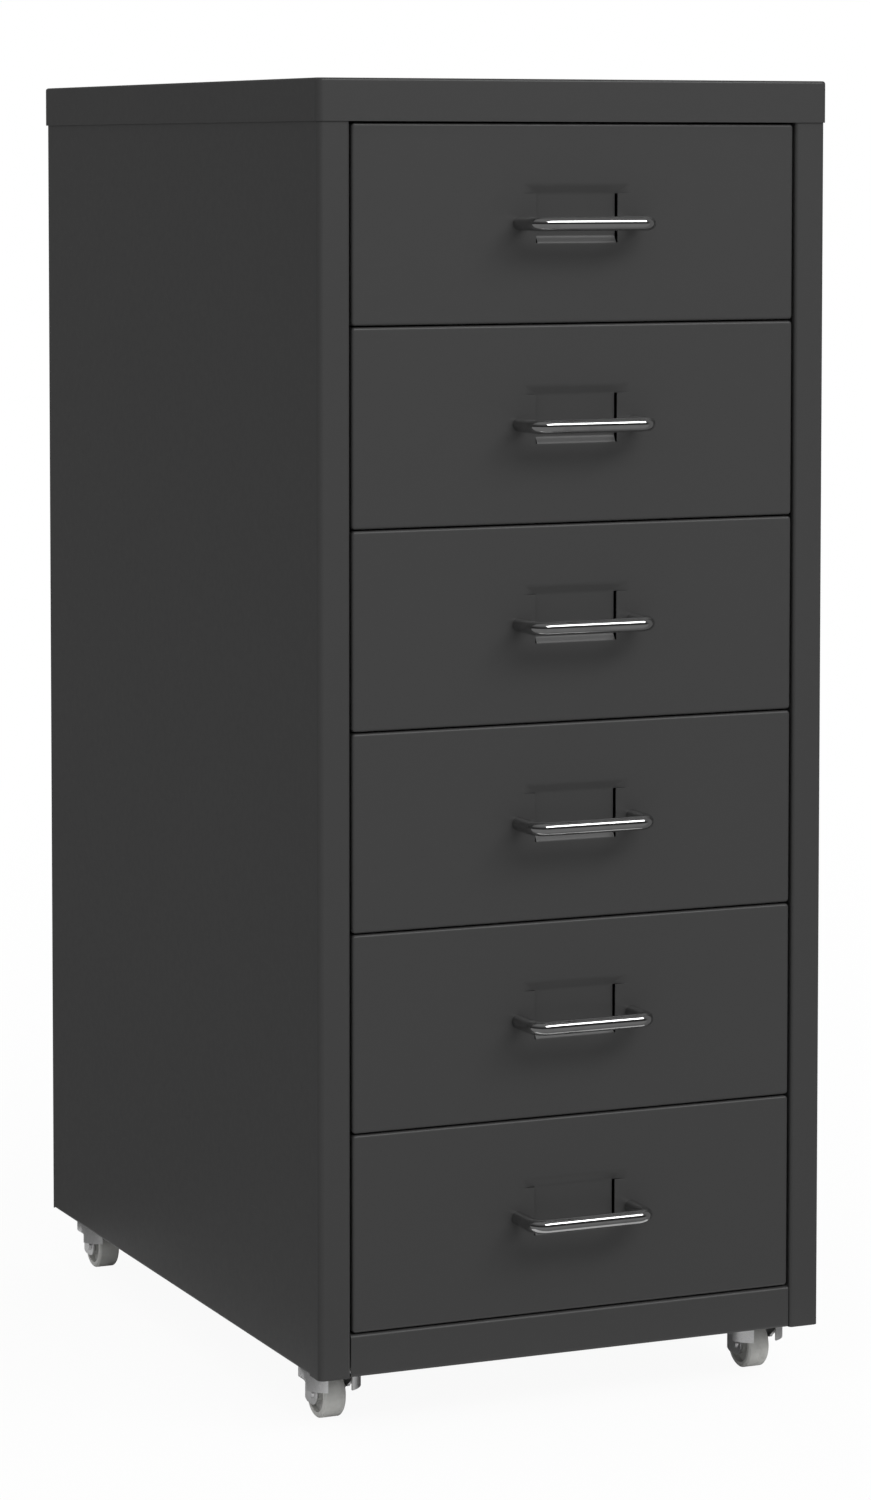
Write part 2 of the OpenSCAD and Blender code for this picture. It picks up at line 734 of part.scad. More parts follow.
module castor_wheel(n) {
    bore_r = axle_d / 2 + running_gap;
    hub_r = hub_d / 2;
    tread_r = wheel_d / 2;
    rim_r = tread_r - rim_t;
    half = wheel_w / 2;
    web_half = half - web_recess;
    side_points = [
        [bore_r, half], [hub_r, half], [hub_r, web_half], [rim_r, web_half], [rim_r, half],
        [tread_r - wheel_bevel, half], [tread_r, half - wheel_bevel]
    ];
    other_side = [for (k = [len(side_points) - 1 : -1 : 0]) [side_points[k][0], -side_points[k][1]]];
    color(WHEEL_GREY)
    translate([castor_x(n), castor_y(n) + castor_trail, axle_z]) rotate([0, 90, 0])
        rotate_extrude() polygon(concat(side_points, other_side));
}

top_cap();
side_panel(-1);  // left_side_panel
side_panel(1);  // right_side_panel
back_panel();
base_panel();
bottom_rail();
panel_screws();
castor_screws();
for (i = DRAWERS) {
    runner(-1, i);
    runner(1, i);
    drawer_tray(i);
    drawer_front(i);
    drawer_handle(i);
    drawer_handle_screws(i);
}
for (n = [0 : 3]) {
    castor_mount(n);
    castor_fork(n);
    castor_axle(n);
    castor_wheel(n);
}
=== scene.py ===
import json
import math

import bmesh
import bpy
from mathutils import Matrix, Vector

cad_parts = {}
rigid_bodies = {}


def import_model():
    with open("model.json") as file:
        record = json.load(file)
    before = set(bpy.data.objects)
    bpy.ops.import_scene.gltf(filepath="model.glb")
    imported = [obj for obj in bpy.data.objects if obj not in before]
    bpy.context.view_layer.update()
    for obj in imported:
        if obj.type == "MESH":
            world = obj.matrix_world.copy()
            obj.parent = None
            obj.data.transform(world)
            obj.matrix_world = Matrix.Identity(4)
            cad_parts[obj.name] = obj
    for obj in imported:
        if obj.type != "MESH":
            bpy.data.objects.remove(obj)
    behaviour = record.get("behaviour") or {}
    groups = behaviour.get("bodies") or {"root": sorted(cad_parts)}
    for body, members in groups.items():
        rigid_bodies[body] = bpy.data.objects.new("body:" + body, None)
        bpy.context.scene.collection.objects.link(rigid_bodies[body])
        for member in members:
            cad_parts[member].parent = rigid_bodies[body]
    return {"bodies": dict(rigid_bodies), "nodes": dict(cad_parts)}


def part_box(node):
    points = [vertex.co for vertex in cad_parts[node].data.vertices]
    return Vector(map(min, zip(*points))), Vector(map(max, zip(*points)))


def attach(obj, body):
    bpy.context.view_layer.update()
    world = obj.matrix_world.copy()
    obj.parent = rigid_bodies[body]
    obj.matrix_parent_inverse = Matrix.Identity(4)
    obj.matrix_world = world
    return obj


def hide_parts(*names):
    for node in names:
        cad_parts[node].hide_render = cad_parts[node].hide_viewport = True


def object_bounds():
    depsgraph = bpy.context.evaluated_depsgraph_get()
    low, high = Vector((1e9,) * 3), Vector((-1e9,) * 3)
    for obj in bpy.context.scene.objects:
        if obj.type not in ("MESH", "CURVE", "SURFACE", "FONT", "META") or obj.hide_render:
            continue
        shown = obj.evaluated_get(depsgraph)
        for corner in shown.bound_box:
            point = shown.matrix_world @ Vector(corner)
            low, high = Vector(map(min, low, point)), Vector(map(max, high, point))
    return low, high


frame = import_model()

mm = 0.001
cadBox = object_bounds()
cadNodes = frame["nodes"]
drawerNames = sorted(name for name in frame["bodies"] if name.startswith("drawer_"))
castorNames = sorted(name[:-len("_castor")] for name in frame["bodies"] if name.endswith("_castor"))
print("frame loaded:", len(cadNodes), "nodes,", len(drawerNames), "drawers")


# ---- node helpers ----

def addNode(tree, kind, inputs=None, **settings):
    node = tree.nodes.new(kind)
    for name, value in settings.items():
        setattr(node, name, value)
    for key, value in (inputs or {}).items():
        if isinstance(value, bpy.types.NodeSocket):
            tree.links.new(value, node.inputs[key])
        else:
            node.inputs[key].default_value = value
    return node


def maths(tree, operation, *values, clamp=False):
    node = addNode(tree, "ShaderNodeMath", dict(enumerate(values)), operation=operation, use_clamp=clamp)
    return node.outputs[0]


def mapRange(tree, value, low, high, toLow, toHigh):
    inputs = {"Value": value, "From Min": low, "From Max": high, "To Min": toLow, "To Max": toHigh}
    return addNode(tree, "ShaderNodeMapRange", inputs, interpolation_type="SMOOTHSTEP").outputs[0]


def mixColour(tree, factor, first, second, blend="MIX"):
    node = addNode(tree, "ShaderNodeMix", {0: factor, 6: first, 7: second}, data_type="RGBA", blend_type=blend)
    return node.outputs[2]


def noise(tree, place, scale, detail=2.0, roughness=0.5):
    inputs = {"Vector": place, "Scale": scale, "Detail": detail, "Roughness": roughness}
    return addNode(tree, "ShaderNodeTexNoise", inputs).outputs[0]


def objectPlace(tree):
    return addNode(tree, "ShaderNodeTexCoord").outputs["Object"]


def makeGroup(name, inputs, outputs):  # an effect that several materials use
    group = bpy.data.node_groups.new(name, "ShaderNodeTree")
    for label, value in inputs.items():
        group.interface.new_socket(label, in_out="INPUT", socket_type="NodeSocketFloat").default_value = value
    for label in outputs:
        group.interface.new_socket(label, in_out="OUTPUT", socket_type="NodeSocketFloat")
    return group, group.nodes.new("NodeGroupInput").outputs, group.nodes.new("NodeGroupOutput").inputs


def placeGroup(tree, group, **values):
    node = addNode(tree, "ShaderNodeGroup", node_tree=group)
    for label, value in values.items():
        node.inputs[label].default_value = value
    return node.outputs


# ---- shared effects ----

def mottleGroup():  # slow drift of tone over a sheet
    group, given, result = makeGroup("toneDrift", {"Scale": 4, "Depth": 0.05}, ["Factor"])
    place = objectPlace(group)
    broad = noise(group, place, given["Scale"], 3, 0.55)
    swing = maths(group, "MULTIPLY", maths(group, "SUBTRACT", broad, 0.5), given["Depth"])
    group.links.new(maths(group, "MULTIPLY_ADD", swing, 2.0, 1.0), result["Factor"])
    return group


def grainGroup():  # orange peel of a stoved coat, or the grain of a moulding
    group, given, result = makeGroup("fineGrain", {"Scale": 900}, ["Height", "Pits"])
    place = objectPlace(group)
    peel = noise(group, place, given["Scale"], 2, 0.6)
    coarse = noise(group, place, maths(group, "MULTIPLY", given["Scale"], 0.31), 1, 0.5)
    height = maths(group, "MULTIPLY_ADD", coarse, 0.6, maths(group, "MULTIPLY", peel, 0.4))
    group.links.new(height, result["Height"])
    group.links.new(mapRange(group, peel, 0.62, 0.78, 0.0, 1.0), result["Pits"])
    return group


def dustGroup():  # lies on what faces up, thicker in patches
    group, given, result = makeGroup("settledDust", {"Scale": 18, "Amount": 0.5}, ["Mask"])
    place = objectPlace(group)
    normal = addNode(group, "ShaderNodeNewGeometry").outputs["Normal"]
    up = addNode(group, "ShaderNodeSeparateXYZ", {0: normal}).outputs["Z"]
    facing = mapRange(group, up, 0.35, 0.95, 0.0, 1.0)
    patches = mapRange(group, noise(group, place, given["Scale"], 5, 0.65), 0.35, 0.75, 0.15, 1.0)
    specks = mapRange(group, noise(group, place, 2200.0, 1, 0.5), 0.5, 0.72, 0.3, 1.0)
    laid = maths(group, "MULTIPLY", maths(group, "MULTIPLY", facing, patches), specks)
    group.links.new(maths(group, "MULTIPLY", laid, given["Amount"], clamp=True), result["Mask"])
    return group


def scratchGroup():  # short hair scratches in two directions
    group, given, result = makeGroup("hairScratches", {"Density": 0.5, "Length": 40}, ["Mask"])
    place = objectPlace(group)
    lines = []
    for turn, squeeze in ((0.5, 1.0), (-0.9, 0.7)):
        turned = addNode(group, "ShaderNodeVectorRotate", {"Vector": place, "Angle": turn}, rotation_type="Y_AXIS")
        spread = addNode(group, "ShaderNodeVectorMath", {0: turned.outputs[0], 1: (1.0, 1.0, 38.0 * squeeze)},
                         operation="MULTIPLY")
        streak = noise(group, spread.outputs[0], given["Length"], 2, 0.7)
        lines.append(mapRange(group, streak, 0.735, 0.76, 0.0, 1.0))
    both = maths(group, "MAXIMUM", *lines)
    group.links.new(maths(group, "MULTIPLY", both, given["Density"], clamp=True), result["Mask"])
    return group


def spangleGroup():  # crystals of a zinc coat
    group, given, result = makeGroup("zincSpangle", {"Scale": 260}, ["Tone", "Height"])
    place = objectPlace(group)
    warped = addNode(group, "ShaderNodeVectorMath",
                     {0: place, 1: addNode(group, "ShaderNodeTexNoise", {"Vector": place, "Scale": 120.0}).outputs[1],
                      2: (0.004, 0.004, 0.004)}, operation="MULTIPLY_ADD")
    cells = addNode(group, "ShaderNodeTexVoronoi", {"Vector": warped.outputs[0], "Scale": given["Scale"]})
    tone = addNode(group, "ShaderNodeSeparateColor", {0: cells.outputs["Color"]}).outputs[0]
    haze = noise(group, place, 60.0, 4, 0.6)
    group.links.new(maths(group, "MULTIPLY_ADD", haze, 0.5, maths(group, "MULTIPLY", tone, 0.5)), result["Tone"])
    group.links.new(maths(group, "MULTIPLY_ADD", tone, 0.4, cells.outputs["Distance"]), result["Height"])
    return group


effects = {
    "mottle": mottleGroup(),
    "grain": grainGroup(),
    "dust": dustGroup(),
    "scratches": scratchGroup(),
    "spangle": spangleGroup(),
}


# ---- materials ----

def newMaterial(name, **shaderValues):
    material = bpy.data.materials.new(name)
    material.use_nodes = True
    tree = material.node_tree
    shader = tree.nodes["Principled BSDF"]
    for label, value in shaderValues.items():
        shader.inputs[label.replace("_", " ")].default_value = value
    return material, tree, shader


def bumpFrom(tree, shader, height, strength, distance):
    bump = addNode(tree, "ShaderNodeBump", {"Height": height, "Strength": strength, "Distance": distance})
    tree.links.new(bump.outputs[0], shader.inputs["Normal"])


paintLook = {  # stoved anthracite coat: one set of values for the body, one for the drawer fronts
    "body_paint": {"colour": (0.036, 0.036, 0.036, 1), "roughness": 0.42, "dust": 0.05, "drift": 0.02},
    "front_paint": {"colour": (0.037, 0.037, 0.037, 1), "roughness": 0.40, "dust": 0.05, "drift": 0.02},
}
paintDetail = {
    "dustColour": (0.26, 0.25, 0.235, 1), "edgeColour": (0.062, 0.062, 0.062, 1), "edgeShare": 0.35,
    "grainScale": 850.0, "grainStrength": 0.12, "grainDistance": 0.05 * mm, "specular": 0.4,
    "driftScale": 5.0, "dustScale": 14.0, "dustRoughness": 0.35, "pitColour": (0.012, 0.012, 0.012, 1),
    "pitShare": 0.12, "wearScale": 55.0, "scratchDensity": 0.35, "scratchLength": 26.0, "scratchGloss": 0.1,
}


def powderCoat(slot):
    look, detail = paintLook[slot], paintDetail
    material, tree, shader = newMaterial(slot + "_coat", Specular_IOR_Level=detail["specular"])
    drift = placeGroup(tree, effects["mottle"], Scale=detail["driftScale"], Depth=look["drift"])["Factor"]
    grain = placeGroup(tree, effects["grain"], Scale=detail["grainScale"])
    dust = placeGroup(tree, effects["dust"], Scale=detail["dustScale"], Amount=look["dust"])["Mask"]
    scratches = placeGroup(tree, effects["scratches"], Density=detail["scratchDensity"],
                           Length=detail["scratchLength"])["Mask"]
    tint = addNode(tree, "ShaderNodeCombineColor", {0: drift, 1: drift, 2: drift}).outputs[0]
    tinted = mixColour(tree, 1.0, look["colour"], tint, "MULTIPLY")
    pits = maths(tree, "MULTIPLY", grain["Pits"], detail["pitShare"])
    pitted = mixColour(tree, pits, tinted, detail["pitColour"])
    rubbed = addNode(tree, "ShaderNodeAttribute", attribute_name="edgeBand").outputs["Fac"]
    patchy = mapRange(tree, noise(tree, objectPlace(tree), detail["wearScale"], 4, 0.6), 0.35, 0.65, 0.35, 1.0)
    edge = maths(tree, "MULTIPLY", maths(tree, "MULTIPLY", rubbed, patchy), detail["edgeShare"])
    edged = mixColour(tree, edge, pitted, detail["edgeColour"])
    dusted = mixColour(tree, dust, edged, detail["dustColour"])
    tree.links.new(dusted, shader.inputs["Base Color"])
    rough = maths(tree, "MULTIPLY_ADD", grain["Height"], 0.12, look["roughness"] - 0.06)
    rough = maths(tree, "SUBTRACT", rough, maths(tree, "MULTIPLY", scratches, detail["scratchGloss"]))
    rough = maths(tree, "MULTIPLY_ADD", dust, detail["dustRoughness"], rough)
    tree.links.new(rough, shader.inputs["Roughness"])
    bumpFrom(tree, shader, grain["Height"], detail["grainStrength"], detail["grainDistance"])
    return material


chromeLook = {
    "colour": (0.52, 0.52, 0.52, 1), "smear": (0.45, 0.45, 0.45, 1), "polish": 0.07, "smearRoughness": 0.08,
    "smearScale": 70.0, "scratchDensity": 0.6, "scratchLength": 60.0, "scratchRoughness": 0.12,
    "grainScale": 1500.0, "grainStrength": 0.04, "grainDistance": 0.02 * mm,
}


def chromePlate():
    look = chromeLook
    material, tree, shader = newMaterial("handle_chrome_plate", Metallic=1.0)
    smears = mapRange(tree, noise(tree, objectPlace(tree), look["smearScale"], 4, 0.6), 0.42, 0.72, 0.0, 1.0)
    scratches = placeGroup(tree, effects["scratches"], Density=look["scratchDensity"],
                           Length=look["scratchLength"])["Mask"]
    grain = placeGroup(tree, effects["grain"], Scale=look["grainScale"])
    tree.links.new(mixColour(tree, smears, look["colour"], look["smear"]), shader.inputs["Base Color"])
    rough = maths(tree, "MULTIPLY_ADD", smears, look["smearRoughness"], look["polish"])
    rough = maths(tree, "MULTIPLY_ADD", scratches, look["scratchRoughness"], rough)
    tree.links.new(rough, shader.inputs["Roughness"])
    bumpFrom(tree, shader, grain["Height"], look["grainStrength"], look["grainDistance"])
    return material


zincLook = {  # bright passivated pressings, duller strip for the runners, and the screws
    "castor_zinc": {"light": (0.70, 0.70, 0.70, 1), "dark": (0.60, 0.60, 0.605, 1),
                    "roughness": 0.32, "scale": 500.0},
    "runner_steel": {"light": (0.56, 0.565, 0.57, 1), "dark": (0.44, 0.445, 0.45, 1),
                     "roughness": 0.36, "scale": 150.0},
    "screw_steel": {"light": (0.58, 0.575, 0.56, 1), "dark": (0.44, 0.435, 0.42, 1),
                    "roughness": 0.30, "scale": 700.0},
}
zincDetail = {
    "dustColour": (0.30, 0.29, 0.27, 1), "dustScale": 40.0, "dustAmount": 0.25, "edgeColour": (0.72, 0.72, 0.72, 1),
    "edgeShare": 0.5, "scratchDensity": 0.8, "scratchLength": 90.0, "scratchRoughness": 0.15,
    "bumpStrength": 0.04, "bumpDistance": 0.02 * mm,
}


def zincCoat(slot):
    look, detail = zincLook[slot], zincDetail
    material, tree, shader = newMaterial(slot + "_coat", Metallic=1.0)
    spangle = placeGroup(tree, effects["spangle"], Scale=look["scale"])
    dust = placeGroup(tree, effects["dust"], Scale=detail["dustScale"], Amount=detail["dustAmount"])["Mask"]
    scratches = placeGroup(tree, effects["scratches"], Density=detail["scratchDensity"],
                           Length=detail["scratchLength"])["Mask"]
    toned = mixColour(tree, mapRange(tree, spangle["Tone"], 0.25, 0.75, 0.0, 1.0), look["dark"], look["light"])
    rubbed = addNode(tree, "ShaderNodeAttribute", attribute_name="edgeBand").outputs["Fac"]
    bright = mixColour(tree, maths(tree, "MULTIPLY", rubbed, detail["edgeShare"]), toned, detail["edgeColour"])
    tree.links.new(mixColour(tree, dust, bright, detail["dustColour"]), shader.inputs["Base Color"])
    tree.links.new(maths(tree, "MULTIPLY_ADD", dust, -0.6, 1.0), shader.inputs["Metallic"])
    rough = maths(tree, "MULTIPLY_ADD", spangle["Tone"], 0.08, look["roughness"] - 0.03)
    rough = maths(tree, "MULTIPLY_ADD", scratches, detail["scratchRoughness"], rough)
    tree.links.new(rough, shader.inputs["Roughness"])
    bumpFrom(tree, shader, spangle["Height"], detail["bumpStrength"], detail["bumpDistance"])
    return material


wheelLook = {
    "colour": (0.43, 0.43, 0.415, 1), "grime": (0.24, 0.235, 0.22, 1), "pale": (0.50, 0.50, 0.48, 1),
    "roughness": 0.50, "treadGrime": 0.3, "treadRoughness": 0.12, "cloudScale": 90.0, "grimeScale": 210.0,
    "scratchDensity": 0.7, "scratchLength": 120.0, "scratchShare": 0.5, "specular": 0.4,
    "grainScale": 1300.0, "grainStrength": 0.15, "grainDistance": 0.05 * mm,
}


def wheelMoulding():
    look = wheelLook
    material, tree, shader = newMaterial("wheel_plastic_moulding", Specular_IOR_Level=look["specular"])
    place = objectPlace(tree)
    grain = placeGroup(tree, effects["grain"], Scale=look["grainScale"])
    scratches = placeGroup(tree, effects["scratches"], Density=look["scratchDensity"],
                           Length=look["scratchLength"])["Mask"]
    tread = addNode(tree, "ShaderNodeAttribute", attribute_name="tread").outputs["Fac"]
    cloud = mapRange(tree, noise(tree, place, look["cloudScale"], 4, 0.6), 0.35, 0.7, 0.0, 1.0)
    toned = mixColour(tree, cloud, look["colour"], look["pale"])
    patches = mapRange(tree, noise(tree, place, look["grimeScale"], 5, 0.65), 0.5, 0.72, 0.0, look["treadGrime"])
    dirty = mixColour(tree, maths(tree, "MULTIPLY", patches, tread), toned, look["grime"])
    scuffed = mixColour(tree, maths(tree, "MULTIPLY", scratches, look["scratchShare"]), dirty, look["grime"])
    tree.links.new(scuffed, shader.inputs["Base Color"])
    rough = maths(tree, "MULTIPLY_ADD", grain["Height"], 0.15, look["roughness"] - 0.07)
    tree.links.new(maths(tree, "MULTIPLY_ADD", tread, look["treadRoughness"], rough), shader.inputs["Roughness"])
    bumpFrom(tree, shader, grain["Height"], look["grainStrength"], look["grainDistance"])
    return material


materials = {
    "body_paint": powderCoat("body_paint"),
    "front_paint": powderCoat("front_paint"),
    "handle_chrome": chromePlate(),
    "castor_zinc": zincCoat("castor_zinc"),
    "runner_steel": zincCoat("runner_steel"),
    "screw_steel": zincCoat("screw_steel"),
    "wheel_plastic": wheelMoulding(),
}
print("materials ready:", len(materials))


# ---- mesh helpers ----

def linkObject(name, mesh):
    piece = bpy.data.objects.new(name, mesh)
    bpy.context.scene.collection.objects.link(piece)
    return piece


def settle(piece, smoothAngle=35):  # the evaluated shape becomes a plain mesh, and the modifiers go
    bpy.context.view_layer.update()
    graph = bpy.context.evaluated_depsgraph_get()
    evaluated = piece.evaluated_get(graph)
    shaped = bpy.data.meshes.new_from_object(evaluated, preserve_all_data_layers=True, depsgraph=graph)
    piece.modifiers.clear()
    piece.data = shaped
    if smoothAngle:
        shaped.polygons.foreach_set("use_smooth", [True] * len(shaped.polygons))
        shaped.set_sharp_from_angle(angle=math.radians(smoothAngle))
    return piece


def roundEdges(piece, width, limit=30, segments=2):  # rounded edges, marked for the coat's wear
    worn = piece.modifiers.new("edges", "BEVEL")
    worn.width, worn.segments, worn.angle_limit = width, segments, math.radians(limit)
    worn.limit_method, worn.material, worn.use_clamp_overlap = "ANGLE", 1, True
    settle(piece, 50)
    weighted = piece.modifiers.new("normals", "WEIGHTED_NORMAL")  # keeps the flat sheet flat in the light
    weighted.keep_sharp, weighted.weight = True, 80
    settle(piece, None)


def markEdges(piece, slot):  # the band's faces carry an attribute in place of a second material
    mesh = piece.data
    band = mesh.attributes.new("edgeBand", "FLOAT", "FACE")
    band.data.foreach_set("value", [float(face.material_index == 1) for face in mesh.polygons])
    mesh.polygons.foreach_set("material_index", [0] * len(mesh.polygons))
    mesh.materials.clear()
    mesh.materials.append(materials[slot])


def stand(piece, body, slot, *replaced):
    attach(piece, body)
    if replaced:
        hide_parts(*replaced)


# ---- folded sheet and pressings: the exact solids with rounded, coated edges ----

edgeRadius = {"body_paint": 0.16 * mm, "runner_steel": 0.12 * mm, "castor_zinc": 0.16 * mm}


def weldedSolid(node):  # the exact solids of a CAD node, with shared corners
    solid = bmesh.new()
    solid.from_mesh(cadNodes[node].data)
    bmesh.ops.remove_doubles(solid, verts=solid.verts, dist=0.001 * mm)
    return solid


def dressSolid(node, body, slot, name):
    solid = weldedSolid(node)
    mesh = bpy.data.meshes.new(name)
    solid.to_mesh(mesh)
    solid.free()
    mesh.materials.append(materials[slot])
    mesh.materials.append(None)
    piece = linkObject(name, mesh)
    roundEdges(piece, edgeRadius[slot])
    markEdges(piece, slot)
    stand(piece, body, slot, node)


for node in ("top_cap", "left_side_panel", "right_side_panel", "back_panel", "base_panel", "bottom_rail"):
    dressSolid(node, "cabinet", "body_paint", node + "_coated")
for number, drawer in enumerate(drawerNames, 1):
    dressSolid(drawer + "_tray", drawer, "body_paint", drawer + "_tray_coated")
    for side in ("left", "right"):
        node = f"{side}_runner_{number}"
        dressSolid(node, "cabinet", "runner_steel", node + "_strip")
for castor in castorNames:
    dressSolid(castor + "_castor_mount", "cabinet", "castor_zinc", castor + "_top_plate")
    dressSolid(castor + "_castor_fork", castor + "_castor", "castor_zinc", castor + "_crown_and_legs")
    dressSolid(castor + "_castor_axle", castor + "_castor", "castor_zinc", castor + "_rivet")
print("folded sheet and pressings dressed")


# ---- drawer fronts: one pressed sheet each, with a softened label pocket ----

frontShape = {
    "sheet": 0.8 * mm, "cornerRadius": 1.9 * mm, "foldRadius": 1.4 * mm, "pocketWidth": 44 * mm,
    "pocketHeight": 29.4 * mm, "pocketRise": 4.8 * mm, "depth": 2 * mm, "topSlope": 4.5 * mm,
    "bottomSlope": 3.3 * mm, "flare": 7.2 * mm, "slit": 0.8 * mm, "softness": 0.45 * mm, "edge": 0.14 * mm,
    "fineAround": 1.7 * mm, "fineX": 0.5 * mm, "fineZ": 0.4 * mm, "coarseX": 9 * mm, "coarseZ": 6 * mm,
    "foldSteps": 6,
}


def softMin(first, second, softness):
    overlap = max(softness - abs(first - second), 0) / softness
    return min(first, second) - overlap * overlap * softness / 4


def softMax(first, second, softness):
    return -softMin(-first, -second, softness)


def pocketDepth(x, z, above):  # how deep the press goes at a point of the face
    shape = frontShape
    half, soft, deep = shape["pocketWidth"] / 2, shape["softness"], shape["depth"]
    bottom = shape["pocketRise"] - shape["pocketHeight"] / 2
    top = bottom + shape["pocketHeight"]
    wide = half + shape["flare"]
    if abs(x) > half + 0.01 * mm and not above:
        return 0.0
    ramps = [(top - z) * deep / shape["topSlope"], (wide - abs(x)) * deep / shape["flare"]]
    if abs(x) <= half + 0.01 * mm:
        ramps.append((z - bottom) * deep / shape["bottomSlope"])
    depth = deep
    for ramp in ramps:
        depth = softMin(depth, ramp, soft)
    depth = softMax(depth, 0, soft)
    return depth if depth > 0.01 * mm else 0.0


def gridLines(limit, stops, fine, coarse):  # fine steps inside the spans, coarse ones between them
    lines = {-limit, limit}
    for low, high, step in fine:
        count = max(1, round((high - low) / step))
        lines.update(low + (high - low) * k / count for k in range(count + 1))
    lines.update(stops)
    ordered = sorted(lines)
    for first, second in zip(ordered[:-1], ordered[1:]):
        count = math.ceil((second - first) / coarse)
        lines.update(first + (second - first) * k / count for k in range(1, count))
    kept = []
    for line in sorted(lines):
        near = [stop for stop in (*stops, -limit, limit) if abs(stop - line) < 0.12 * mm]
        place = near[0] if near else line
        if not kept or place - kept[-1] > 0.05 * mm:
            kept.append(place)
    return kept


def pressedFront(name, low, high):
    shape = frontShape
    centre = (low + high) / 2
    cornerX = (high.x - low.x) / 2 - shape["cornerRadius"]
    cornerZ = (high.z - low.z) / 2 - shape["cornerRadius"]
    half, slit = shape["pocketWidth"] / 2, shape["slit"]
    bottom = shape["pocketRise"] - shape["pocketHeight"] / 2
    top = bottom + shape["pocketHeight"]
    shelf = top - shape["topSlope"]
    wide = half + shape["flare"]
    around = shape["fineAround"]
    near, far = half - around, wide + around
    fineX = [(near, far, shape["fineX"]), (-far, -near, shape["fineX"])]
    stopsX = [side * place for side in (-1, 1) for place in (half, half + slit, wide)]
    fineZ = [(bottom - around, bottom + shape["bottomSlope"] + around, shape["fineZ"]),
             (shelf - around, top + around, shape["fineZ"])]
    linesX = gridLines(cornerX, stopsX, fineX, shape["coarseX"])
    linesZ = gridLines(cornerZ, [bottom, shelf], fineZ, shape["coarseZ"])
    sheet = bmesh.new()
    placed = {}

    def vertexAt(x, y, z):
        key = (round(x * 1e7), round(y * 1e7), round(z * 1e7))
        if key not in placed:
            placed[key] = sheet.verts.new((centre.x + x, low.y + y, centre.z + z))
        return placed[key]

    for x0, x1 in zip(linesX[:-1], linesX[1:]):
        for z0, z1 in zip(linesZ[:-1], linesZ[1:]):
            middleX, middleZ = abs(x0 + x1) / 2, (z0 + z1) / 2
            if half < middleX < half + slit and bottom < middleZ < shelf:
                continue
            above = middleZ > shelf
            corners = [(x0, z0), (x1, z0), (x1, z1), (x0, z1)]
            sheet.faces.new([vertexAt(x, pocketDepth(x, z, above), z) for x, z in corners])

    turns, fold = shape["foldSteps"], shape["foldRadius"]
    flat = shape["cornerRadius"] - fold
    steps = [(flat, 0.0)]
    for k in range(1, turns + 1):
        angle = math.pi / 2 * k / turns
        steps.append((flat + fold * math.sin(angle), fold * (1 - math.cos(angle))))
    steps.append((shape["cornerRadius"], high.y - low.y))
    rim = []  # place on the flat field's border and the way out from there
    for k in range(4):
        inner, outward = [(linesX, -90), (linesZ, 0), (linesX, 90), (linesZ, 180)][k]
        line = inner if k in (0, 1) else inner[::-1]
        for place in line:
            point = {0: (place, -cornerZ), 1: (cornerX, place), 2: (place, cornerZ), 3: (-cornerX, place)}[k]
            rim.append((point, outward))
        for part in range(1, turns):
            rim.append((rim[-1][0], outward + 90 * part / turns))
    rings = [[vertexAt(x, 0.0, z) for (x, z), _ in rim]]
    for out, back in steps:
        ring = []
        for (x, z), degrees in rim:
            angle = math.radians(degrees)
            ring.append(vertexAt(x + out * math.cos(angle), back, z + out * math.sin(angle)))
        rings.append(ring)
    for inner, outer in zip(rings[:-1], rings[1:]):
        for k in range(len(rim)):
            corners = [inner[k - 1], outer[k - 1], outer[k], inner[k]]
            distinct = list(dict.fromkeys(corners))
            if len(distinct) > 2:
                sheet.faces.new(distinct)
    mesh = bpy.data.meshes.new(name)
    sheet.to_mesh(mesh)
    sheet.free()
    return mesh


def dressFront(drawer):
    low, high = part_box(drawer + "_front")
    piece = linkObject(drawer + "_pressed_front", pressedFront(drawer + "_pressed_front", low, high))
    piece.data.materials.append(materials["front_paint"])
    piece.data.materials.append(None)
    wall = piece.modifiers.new("sheet", "SOLIDIFY")
    wall.thickness, wall.offset, wall.use_even_offset = frontShape["sheet"], -1, True
    roundEdges(piece, frontShape["edge"], limit=50)
    markEdges(piece, "front_paint")
    stand(piece, drawer, "front_paint", drawer + "_front")


for drawer in drawerNames:
    dressFront(drawer)
print("drawer fronts pressed")


# ---- geometry node trees ----

def newTree(name, inputs):
    tree = bpy.data.node_groups.new(name, "GeometryNodeTree")
    for label, kind in inputs.items():
        tree.interface.new_socket(label, in_out="INPUT", socket_type="NodeSocket" + kind)
    tree.interface.new_socket("Geometry", in_out="OUTPUT", socket_type="NodeSocketGeometry")
    return tree, tree.nodes.new("NodeGroupInput").outputs


def endTree(tree, geometry, material):  # instances become real, and the finish is set
    real = addNode(tree, "GeometryNodeRealizeInstances", {0: geometry}).outputs[0]
    finished = addNode(tree, "GeometryNodeSetMaterial", {"Geometry": real, "Material": material}).outputs[0]
    tree.links.new(finished, tree.nodes.new("NodeGroupOutput").inputs[0])


def grow(name, tree, values, seed=None):  # runs a tree and keeps its result as a plain mesh
    piece = linkObject(name, seed or bpy.data.meshes.new(name))
    shape = piece.modifiers.new("shape", "NODES")
    shape.node_group = tree
    for item in tree.interface.items_tree:
        if item.in_out == "INPUT" and item.name in values:
            shape[item.identifier] = values[item.name]
    return settle(piece)


handleShape = {"pitch": 64 * mm, "bend": 7 * mm, "around": 40, "bendSteps": 14}


